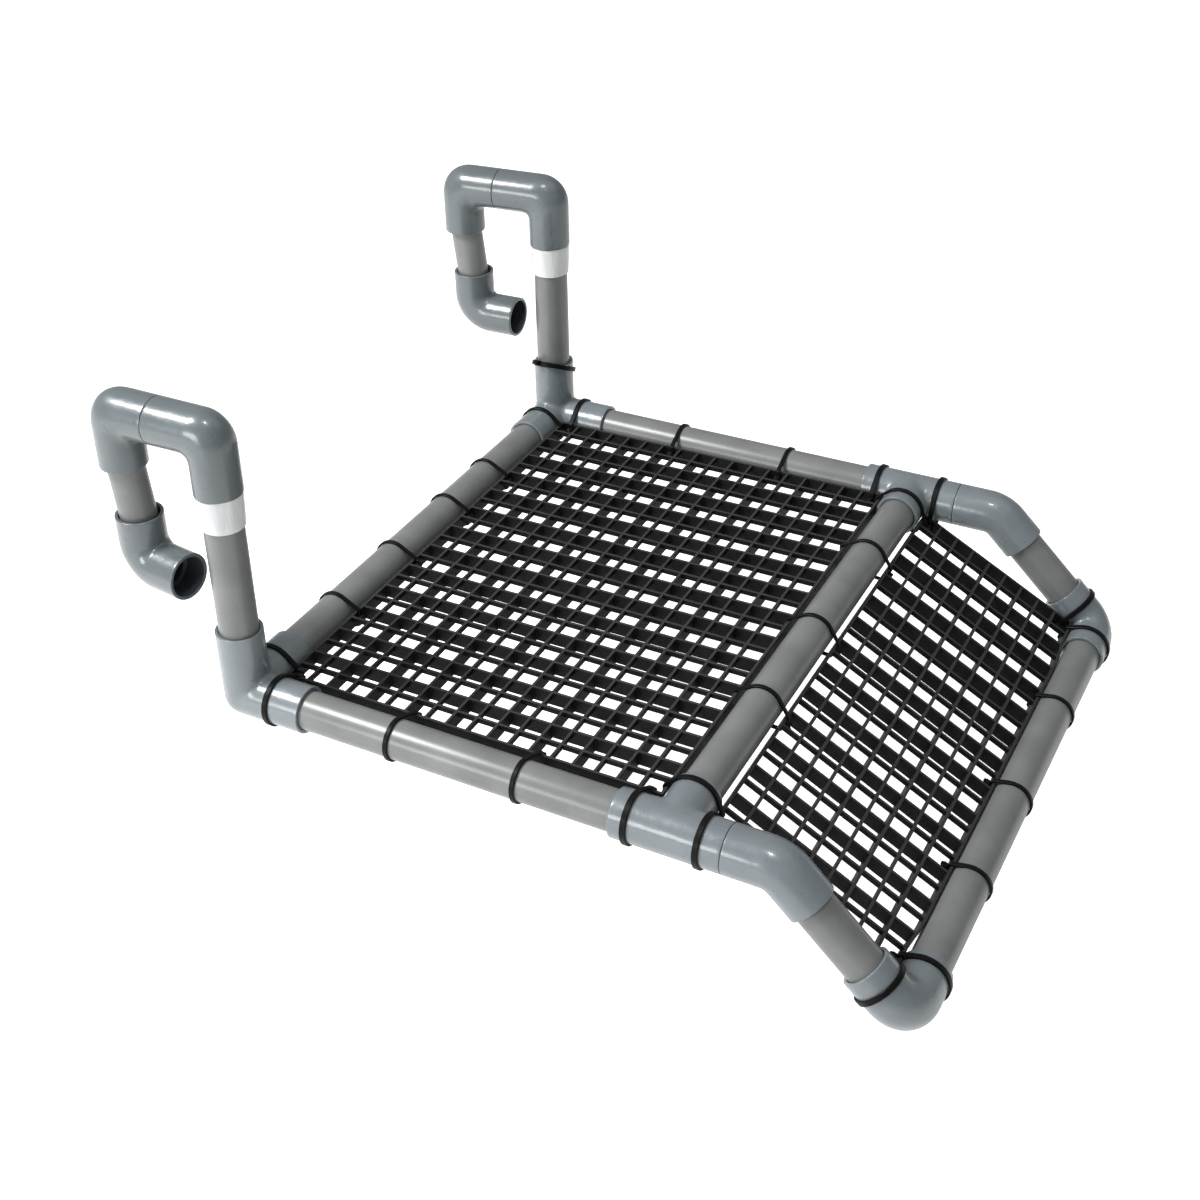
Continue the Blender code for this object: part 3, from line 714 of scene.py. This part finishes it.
reachOf = {
    "corner": 0.047,
    "tee": 0.034,
    "footUp": 0.0349,
    "footAcross": 0.036,
    "bendExit": 0.0278,
    "innerDown": 0.038,
    "innerAcross": 0.0395,
    "outerDown": 0.0355,
    "toeUp": 0.0335,
    "toeOut": 0.0372,
    "gap": 0.0003,
}
bendFillets = {
    "top": (0.004, 0.0205),
    "ramp": (0.003, 0.036),
    "foot": (0.0015, 0.030),
    "toe": (0.0015, 0.030),
}


def addFitting(node, patches, body):
    # the fittings of the hooks get a darker copy of the frame's grey, as painted shade
    material = materials["frameFitting" if body == "platform" else "hookFittingShaded"]
    return putPiece(node, patches, material, body)


def paintBoreShade(piece, centre, outward, reach):
    # The painted shade is 0 at the mouth's edge and 1 past the fade. A point is inside where it is nearer to
    # the axis than the socket's wall, or past the stop than the waterway's.
    s = fittingShape
    away = meshPoints(piece) - centre
    along = away @ outward
    off = np.linalg.norm(away - along[:, None] * outward, axis=1)
    wall = np.where(along > reach - s["depth"] - s["lip"], s["socket"], s["waterway"]) + s["cornerEdge"]
    share = np.clip((reach - along) / s["shadeFade"], 0, 1) * ((along > 0) & (off < wall))
    paintedShade = piece.data.attributes.new("bore", "FLOAT", "POINT")
    paintedShade.data.foreach_set("value", share.astype(np.float32))


def turnedPatches(patches, place, turn):
    # the same patches turned about the upright line through a place
    return [(turnedAbout(points, place, turn), quads) for points, quads in patches]


def addFrameFittings(rail, sign):
    # corner, tee, 45 degree bend and foot of one rail
    y = sign * railY
    inward = -sign * rightward
    corner = np.array([rearAxis[0], y, deckZ])
    tee = np.array([middleAxis[0], y, deckZ])
    bend = np.array([bendX, y, deckZ])
    foot = np.array([frontAxis[0], y, frontAxis[2]])
    square = np.array([forward, inward, upward])  # a branch is one of these axes and a sign
    cornerBranches = dict.fromkeys([(0, 1), (1, 1), (2, 1)], reachOf["corner"])
    teeBranches = dict.fromkeys([(0, 1), (0, -1), (1, 1)], reachOf["tee"])
    bendEntry = bendX - middleAxis[0] - reachOf["tee"] - reachOf["gap"]
    made = {
        "corner_fitting": junctionPatches(corner, square, cornerBranches),
        "tee_fitting": junctionPatches(tee, square, teeBranches),
        "ramp_bend": bentPatches(bend, -forward, downRamp, bendEntry, reachOf["bendExit"],
                                 bendFillets["ramp"], spigot=True),
        "foot_elbow": bentPatches(foot, -downRamp, inward, reachOf["footUp"], reachOf["footAcross"],
                                  bendFillets["foot"]),
    }
    for name, patches in made.items():
        addFitting(f"{rail}_{name}", patches, "platform")


def addHookFittings(rail, sign):
    # the two top elbows and the toe of one hook, turned as the swivels stand
    y = sign * railY
    hookAt = jointPlace(f"{rail}_hook_swivel")
    toeAt = jointPlace(f"{rail}_toe_swivel")
    arm = hookAt - toeAt
    hookTurn = math.atan2(arm[1], arm[0])
    facing = mountAxis(f"{rail}_toe_face")
    toeTurn = math.atan2(facing[1], facing[0])
    hookTop = nodeSpan(f"{rail}_inner_top_elbow", upward)[1] - fittingShape["radius"]
    inner = np.array([hookAt[0], y, hookTop])
    hookLine = np.array([math.cos(hookTurn), math.sin(hookTurn), 0])
    farSide = nodeSpan(f"{rail}_outer_top_elbow", hookLine)[0] + fittingShape["radius"]
    hookReach = inner @ hookLine - farSide
    outer = inner - forward * hookReach
    outerEntry = hookReach - reachOf["innerAcross"] - reachOf["gap"]
    made = {
        "inner_top_elbow": bentPatches(inner, -upward, -forward, reachOf["innerDown"],
                                       reachOf["innerAcross"], bendFillets["top"]),
        "outer_top_elbow": bentPatches(outer, forward, -upward, outerEntry, reachOf["outerDown"],
                                       bendFillets["top"], spigot=True),
    }
    for name, patches in made.items():
        addFitting(f"{rail}_{name}", turnedPatches(patches, hookAt, hookTurn), f"{rail}_hook")
    toeZ = nodeSpan(f"{rail}_toe_elbow", upward)[0] + fittingShape["radius"]
    toe = np.array([toeAt[0], toeAt[1], toeZ])
    level = np.array([math.cos(toeTurn), math.sin(toeTurn), 0])
    patches = bentPatches(toe, upward, level, reachOf["toeUp"], reachOf["toeOut"], bendFillets["toe"])
    piece = addFitting(f"{rail}_toe_elbow", patches, f"{rail}_toe")
    # paints shade inside the toe's open mouth
    paintBoreShade(piece, toe, level, reachOf["toeOut"])


for rail, sign in rails.items():
    addFrameFittings(rail, sign)
    addHookFittings(rail, sign)
print("fittings moulded")


# Clear sleeves

sleeveShape = {
    "tight": 0.0128,
    "wide": 0.0140,
    "wall": 0.0008,
    "ripple": 0.00022,
    "waves": ((3, 1.0, 0.6), (5, 0.6, 2.0)),  # how many round the tube, how strong and from where each
    "sides": 64,
    "rows": 24,
}


def addSleeve(rail):
    # A vinyl tube that widens evenly from the pipe up to the elbow's rim. Its ripple is a sum of sines
    # less their full strength, so that it only draws in, and grows toward the rim. The inner wall comes
    # back a wall's thickness inside.
    s = sleeveShape
    bottom, top = nodeSpan(f"{rail}_clear_sleeve", upward)
    hookAt = jointPlace(f"{rail}_hook_swivel")
    share = np.linspace(0, 1, s["rows"])[:, None]
    turn = (math.tau * np.arange(s["sides"]) / s["sides"])[None, :]
    swell = sum(strength * np.sin(count * turn + start) for count, strength, start in s["waves"])
    strongest = sum(strength for _, strength, _ in s["waves"])
    wave = (swell - strongest) * s["ripple"] * share**2
    outer = s["tight"] + s["wall"] + (s["wide"] - s["tight"]) * share + wave * share
    inner = outer - s["wall"]
    radii = np.concatenate([inner, outer[::-1]])
    height = bottom + (top - bottom) * share
    heights = np.concatenate([height, height[::-1]])
    x = hookAt[0] + radii * np.cos(turn)
    y = hookAt[1] + radii * np.sin(turn)
    points = np.stack([x, y, np.broadcast_to(heights, x.shape)], axis=-1)
    patch = gridPatch(points, closeRows=True, closeColumns=True)
    putPiece(f"{rail}_clear_sleeve", [patch], materials["sleeve"], f"{rail}_hook")


for rail in rails:
    addSleeve(rail)
print("sleeves drawn")


# Nets

netShape = {
    "rib": 0.0020,
    "shallow": 0.0037,
    "bevel": 0.00035,
    "bevelSteps": 2,
    "columns": 26,
    "deckRows": 18,
    "rampRows": 9,
    "pull": 0.0024,  # how far the ties pull the ramp's lower border out
    "pullUntil": 0.162,
    "pullFade": 0.016,
}
slope = unit(frontAxis * [1, 0, 1] - middleAxis * [1, 0, 1])
netAxes = {"deck_net": (forward, upward), "ramp_net": (slope, np.cross(slope, rightward))}


def netSpans(node):
    # the net's reach along its length, across it and through it
    along, normal = netAxes[node]
    return nodeSpan(node, along), nodeSpan(node, rightward), nodeSpan(node, normal)


def borderPull(node, across):
    # the ramp net's lower border follows the pipe between the foot sockets: full pull in the middle,
    # gone on a smooth step before each socket
    s = netShape
    share = np.clip((s["pullUntil"] - np.abs(across)) / s["pullFade"], 0, 1)
    return s["pull"] * share * share * (3 - 2 * share) * (node == "ramp_net")


def ribCuts(span, cells):
    # both sides of each rib, evenly from one border to the other
    pitch = (span[1] - span[0] - netShape["rib"]) / cells
    starts = span[0] + pitch * np.arange(cells + 1)
    return np.stack([starts, starts + netShape["rib"]], axis=1).ravel()


def lineLevels(cells):
    # 2 for a deep rib, 1 for a shallow one and 0 for the gap after it; every second rib is deep
    levels = np.zeros(2 * cells + 1, int)
    levels[0::2] = 1
    levels[0::4] = 2
    levels[-1] = 2
    return levels


def addNet(node, rows):
    # Ribs as a field of depths: each patch of the net is as deep as the deeper of its two ribs, and
    # walls stand wherever a patch is deeper than its neighbour.
    along, normal = netAxes[node]
    lengthSpan, widthSpan, depthSpan = netSpans(node)
    x = ribCuts(lengthSpan, rows)
    y = ribCuts(widthSpan, netShape["columns"])
    z = np.array([depthSpan[1], depthSpan[1] - netShape["shallow"], depthSpan[0]])
    level = np.maximum.outer(lineLevels(rows), lineLevels(netShape["columns"]))
    level[1::2, 1::2] = 0
    padded = np.pad(level, 1)
    shape = (len(x), len(y), 3)
    number = np.arange(np.prod(shape)).reshape(shape)

    def quadsWhere(mask, depth, first, second):
        # a quad at each marked grid point, with one side a step one way and one a step the other
        i, j = np.nonzero(mask)
        steps = ((0, 0, 0), first, np.add(first, second), second)
        return np.stack([number[i + a, j + b, depth + c] for a, b, c in steps], axis=1)

    onward, sideways, deeper = (1, 0, 0), (0, 1, 0), (0, 0, 1)
    quads = [quadsWhere(mask, depth, onward, sideways)
             for depth, mask in enumerate((level > 0, level == 1, level == 2))]
    for band in (0, 1):
        solid = padded > band
        quads.append(quadsWhere(solid[:-1, 1:-1] != solid[1:, 1:-1], band, sideways, deeper))
        quads.append(quadsWhere(solid[1:-1, :-1] != solid[1:-1, 1:], band, onward, deeper))
    quads = np.concatenate(quads)
    reach = np.repeat(x[:, None], len(y), axis=1)
    reach[-2:] += borderPull(node, y)
    grid = (reach[:, :, None, None] * along + y[None, :, None, None] * rightward
            + z[None, None, :, None] * normal)
    used, quads = np.unique(quads, return_inverse=True)
    patch = (grid.reshape(-1, 3)[used], quads.reshape(-1, 4))
    piece = putPiece(node, [patch], materials["net"], "platform", smooth=False)
    piece.data.shade_smooth()
    edges = piece.modifiers.new("edges", "BEVEL")
    edges.width = netShape["bevel"]
    edges.segments = netShape["bevelSteps"]
    edges.limit_method = "ANGLE"
    edges.harden_normals = True


addNet("deck_net", netShape["deckRows"])
addNet("ramp_net", netShape["rampRows"])
print("nets moulded")


# Cable ties

tieShape = {
    "width": 0.0030,
    "socketWidth": 0.0036,  # of the ties on fittings
    "thickness": 0.0014,
    "gap": 0.00015,
    "edge": 0.0003,
    "steps": 120,
    "headLength": 0.0048,
    "headWidth": 0.0043,
    "headHeight": 0.0032,
    "headSquare": 6,       # how square the head's outline is, as a power
    "headEdge": 0.0006,
    "headSides": 24,
    "headSteps": 5,
    "tailLength": 0.0030,
    "tailLean": math.radians(35),
}


def borderLines(node, border, place):
    # the four long edges of a net's border rib near a place, each as a point on it, and their direction
    along, normal = netAxes[node]
    (start, end), (left, right), (low, top) = netSpans(node)
    rib = netShape["rib"]
    spans = {
        "upper": ((start, start + rib), along, rightward),
        "lower": (np.array((end - rib, end)) + borderPull(node, place[1]), along, rightward),
        "left": ((left, left + rib), rightward, along),
        "right": ((right - rib, right), rightward, along),
    }
    sides, across, direction = spans[border]
    edges = [across * side + normal * height for side in sides for height in (low, top)]
    return np.array(edges), direction


def bandCrossings(points, direction, centre, axis):
    # where lines in one direction pass the two faces of the band
    offsets = np.array([-tieShape["width"] / 2, tieShape["width"] / 2])
    travel = (offsets - ((points - centre) @ axis)[:, None]) / np.dot(direction, axis)
    return (points[:, None] + travel[..., None] * direction).reshape(-1, 3)


def softBlock(base, along, across, out, length, width, height):
    # A block with round edges. Its outline is a power curve, sign(cos) |cos|^(2/n), and its rings draw
    # in by a quarter circle at the top and close on its middle at both ends.
    s = tieShape
    turn = math.tau * np.arange(s["headSides"]) / s["headSides"]
    power = 2 / s["headSquare"]
    x = np.sign(np.cos(turn)) * np.abs(np.cos(turn)) ** power * length / 2
    y = np.sign(np.sin(turn)) * np.abs(np.sin(turn)) ** power * width / 2
    edge = s["headEdge"]
    bend = np.linspace(0, math.tau / 4, s["headSteps"])
    shares = np.concatenate([[0, 1], 1 - edge * (1 - np.cos(bend)) / width * 2, [0]])
    levels = np.concatenate([[0, 0], height - edge + edge * np.sin(bend), [height]])
    rings = (base + shares[:, None, None] * (x[:, None] * along + y[:, None] * across)
             + levels[:, None, None] * out)
    return gridPatch(rings, closeColumns=True)


def bandOutline(centre, axis, across, lift, radius, held):
    # At each turn about the axis, the point furthest out that way: a corner that the band passes
    # over, or the round of the pipe.
    turn = math.tau * np.arange(tieShape["steps"]) / tieShape["steps"]
    out = np.stack([np.cos(turn), np.sin(turn)], axis=1)
    flat = np.stack([(held - centre) @ across, (held - centre) @ lift], axis=1)
    reach = flat @ out.T
    furthest = flat[reach.argmax(axis=0)]
    return np.where((reach.max(axis=0) < radius)[:, None], radius * out, furthest), out


def addBand(node, centre, axis, across, lift, radius, held, headTurn):
    # A band drawn tight round its outline, its section a bar with cut corners. The head sits on the
    # stretch of band that the turn from across points to, and the trimmed tail stands out of it.
    s = tieShape
    width = s["width"] if radius < fittingShape["radius"] else s["socketWidth"]
    outline, out = bandOutline(centre, axis, across, lift, radius, held)
    inner = s["gap"]
    outer = inner + s["thickness"]
    half = width / 2
    cut = s["edge"]
    section = np.array([
        (inner, half - cut), (inner, cut - half), (inner + cut, -half), (outer - cut, -half),
        (outer, cut - half), (outer, half - cut), (outer - cut, half), (inner + cut, half),
    ])
    path = outline[:, None] + section[None, :, :1] * out[:, None]
    lateral = np.broadcast_to(section[:, 1], path.shape[:2])
    points = centre + path[..., :1] * across + path[..., 1:] * lift + lateral[..., None] * axis
    stretch = np.roll(outline, -1, axis=0) - outline
    middle = outline + stretch / 2
    pointing = unit(np.array([math.cos(headTurn), math.sin(headTurn)]))
    off = middle / np.linalg.norm(middle, axis=1, keepdims=True) @ pointing
    seatAt = np.argmax(off)
    along = unit(stretch[seatAt, :1] * across + stretch[seatAt, 1:] * lift)
    away = np.cross(along, axis)
    seat = centre + middle[seatAt, 0] * across + middle[seatAt, 1] * lift
    away = away if away @ (seat - centre) > 0 else -away
    seat = seat + away * (s["gap"] + s["thickness"] / 2)
    head = softBlock(seat, along, axis, away, s["headLength"], s["headWidth"], s["headHeight"])
    tip = seat + away * (s["headHeight"] - s["thickness"])
    lean = away * math.cos(s["tailLean"]) + along * math.sin(s["tailLean"])
    tailAlong = along * math.cos(s["tailLean"]) - away * math.sin(s["tailLean"])
    tail = softBlock(tip, tailAlong, axis, lean, s["thickness"], s["width"], s["tailLength"])
    band = gridPatch(points, closeRows=True, closeColumns=True)
    putPiece(node, [band, head, tail], materials["tie"], "platform")


def addTie(node, axisPoint, axis, radius, borders):
    # A tie round a pipe or socket and the border of one or two nets. Its head sits on the inside of
    # the border of the last of them, in the net's first row of cells.
    span = nodeSpan(node, axis)
    centre = axisPoint + axis * ((span[0] + span[1]) / 2 - axisPoint @ axis)
    held = np.concatenate([bandCrossings(*borderLines(net, border, centre), centre, axis)
                           for net, border in borders])
    toward = held[:8].mean(axis=0) - centre
    across = unit(toward - axis * (toward @ axis))
    lift = np.cross(axis, across)
    lift = lift if lift[2] > 0 else -lift
    last = held[-8:].mean(axis=0) - centre
    addBand(node, centre, axis, across, lift, radius, held, math.atan2(last @ lift, last @ across))


tieCounts = {"rear": 6, "middle": 5, "front": 5, "left": 4, "right": 4}


def addRailTies(rail, axisPoint, axis, borders):
    # the ties along one rail: the first and the last go round fittings, the others round the pipe
    count = tieCounts[rail]
    for number in range(1, count + 1):
        onFitting = number in (1, count)
        radius = fittingShape["radius"] if onFitting else pipeShape["radius"]
        addTie(f"{rail}_rail_tie_{number}", axisPoint, axis, radius, borders)


def addTies():
    # each tie binds the border of one or two nets to the pipe or the socket that it goes round
    rear, middle, front = (axis * [1, 0, 1] for axis in (rearAxis, middleAxis, frontAxis))
    addRailTies("rear", rear, rightward, [("deck_net", "upper")])
    addRailTies("middle", middle, rightward, [("deck_net", "lower"), ("ramp_net", "upper")])
    addRailTies("front", front, rightward, [("ramp_net", "lower")])
    socket = fittingShape["radius"]
    for rail, sign in rails.items():
        side = sign * railY * rightward
        addRailTies(rail, rear + side, forward, [("deck_net", rail)])
        addTie(f"{rail}_tee_tie", middle + side, forward, socket, [("ramp_net", rail)])
        addTie(f"{rail}_foot_tie", front + side, downRamp, socket, [("ramp_net", rail)])


strayTie = {
    "height": 0.042,
    "tilt": math.radians(28),
    "heading": math.radians(92),
    "headHeading": math.radians(258),
}


def addStrayTie():
    # one slanted tie round the upright socket of the right corner
    s = strayTie
    lean = np.array([math.cos(s["heading"]), math.sin(s["heading"]), 0])
    toward = np.array([math.cos(s["headHeading"]), math.sin(s["headHeading"]), 0])
    axis = unit(upward * math.cos(s["tilt"]) + lean * math.sin(s["tilt"]))
    centre = np.array([rearAxis[0], railY, deckZ + s["height"]])
    across = unit(toward - axis * (toward @ axis))
    radius = fittingShape["radius"]
    around = math.tau * np.arange(tieShape["steps"]) / tieShape["steps"]
    circle = centre + radius * (np.cos(around)[:, None] * forward + np.sin(around)[:, None] * rightward)
    held = bandCrossings(circle, upward, centre, axis)
    addBand("stray_upright_tie", centre, axis, across, np.cross(axis, across), radius, held, 0)


addTies()
addStrayTie()
print("ties tightened")


# Size of the dressed part against the frame

def plain(corners):
    # the box's corners as lists, which JSON can hold
    return [list(corner) for corner in corners]


{"cad": plain(cadBounds), "visual": plain(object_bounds())}


# Camera, light and floor

cameraPlace = {
    "fromRear": (0.61119, -0.88989, 0.66505),  # from the middle of the rear pipe
    "right": (0.8738, 0.4848, -0.0377),
    "back": (0.4309, -0.7361, 0.5221),
    "lens": 53.61,
    "sensor": 36,
    "shift": (0.0587, -0.0640),
}


def addCamera():
    # stands where the photograph's lines say, with the frame shifted as its crop is
    camera = putObject("camera", bpy.data.cameras.new("camera"))
    right = unit(np.array(cameraPlace["right"]))
    back = unit(np.array(cameraPlace["back"]))
    up = np.cross(back, right)
    turn = Matrix((right, up, back)).transposed().to_4x4()
    place = np.array([rearAxis[0], 0, deckZ]) + cameraPlace["fromRear"]
    camera.matrix_world = Matrix.Translation(place) @ turn
    camera.data.sensor_width = cameraPlace["sensor"]
    camera.data.lens = cameraPlace["lens"]
    camera.data.shift_x, camera.data.shift_y = cameraPlace["shift"]
    bpy.context.scene.camera = camera


studio = {
    "world": (1.0, 1.0, 1.0),
    "worldStrength": (0.30, 1.0),  # on the part, and as the camera sees it
    "floorBelow": 0.10,
    "floorSize": 12.0,
    "floorColour": (0.90, 0.90, 0.90),
    "floorRoughness": 0.9,
    "floorGlow": (0.30, 0.80),  # the same
    "aim": (0.2, 0.0, -0.15),  # where every lamp points
}
softLights = {
    "key": {"place": (-0.86, -0.75, 1.30), "size": (0.50, 0.50), "power": 36},
    "side": {"place": (-0.6, -2.0, 0.30), "size": (0.9, 0.5), "power": 17},
    "top": {"place": (0.9, 0.5, 2.0), "size": (1.6, 1.6), "power": 4},
    "overhead": {"place": (0.46, -0.80, 2.70), "size": (0.26, 0.26), "power": 19},
}


def addStudio():
    # A white room: a plain pale floor, an even white world and large soft lights. The overhead
    # lamp is smaller and gives the bends their bright spots.
    world = bpy.data.worlds.new("studio")
    world.use_nodes = True
    background = world.node_tree.nodes["Background"]
    background.inputs["Color"].default_value = (*studio["world"], 1)
    low, high = studio["worldStrength"]
    strength = addNode(world.node_tree, "ShaderNodeMapRange", {"To Min": low, "To Max": high})
    seen = addNode(world.node_tree, "ShaderNodeLightPath").outputs["Is Camera Ray"]
    world.node_tree.links.new(seen, strength.inputs["Value"])
    world.node_tree.links.new(strength.outputs["Result"], background.inputs["Strength"])
    bpy.context.scene.world = world
    level = cadBounds[0][2] - studio["floorBelow"]
    half = studio["floorSize"] / 2
    mesh = bpy.data.meshes.new("floor")
    corners = [(-half, -half, level), (half, -half, level), (half, half, level), (-half, half, level)]
    mesh.from_pydata(corners, [], [(0, 1, 2, 3)])
    floor = putObject("floor", mesh)
    plainFloor = {"Roughness": studio["floorRoughness"], "Base Color": (*studio["floorColour"], 1),
                  "Emission Strength": 1.0}
    paint, tree, shader, _ = startMaterial("paleFloor", plainFloor)
    seen = addNode(tree, "ShaderNodeLightPath").outputs["Is Camera Ray"]
    glows = [(glow,) * 3 for glow in studio["floorGlow"]]
    tree.links.new(colourMix(tree, seen, *glows), shader.inputs["Emission Color"])
    mesh.materials.append(paint)
    for name, light in softLights.items():
        lamp = bpy.data.lights.new(name, "AREA")
        lamp.shape = "RECTANGLE"
        lamp.size, lamp.size_y = light["size"]
        lamp.energy = light["power"]
        holder = putObject(name, lamp)
        holder.location = light["place"]
        holder.rotation_mode = "QUATERNION"
        toward = Vector(studio["aim"]) - Vector(light["place"])
        holder.rotation_quaternion = toward.to_track_quat("-Z", "Y")


addCamera()
addStudio()
bpy.context.scene.view_settings.view_transform = "Standard"
print("camera and studio ready")
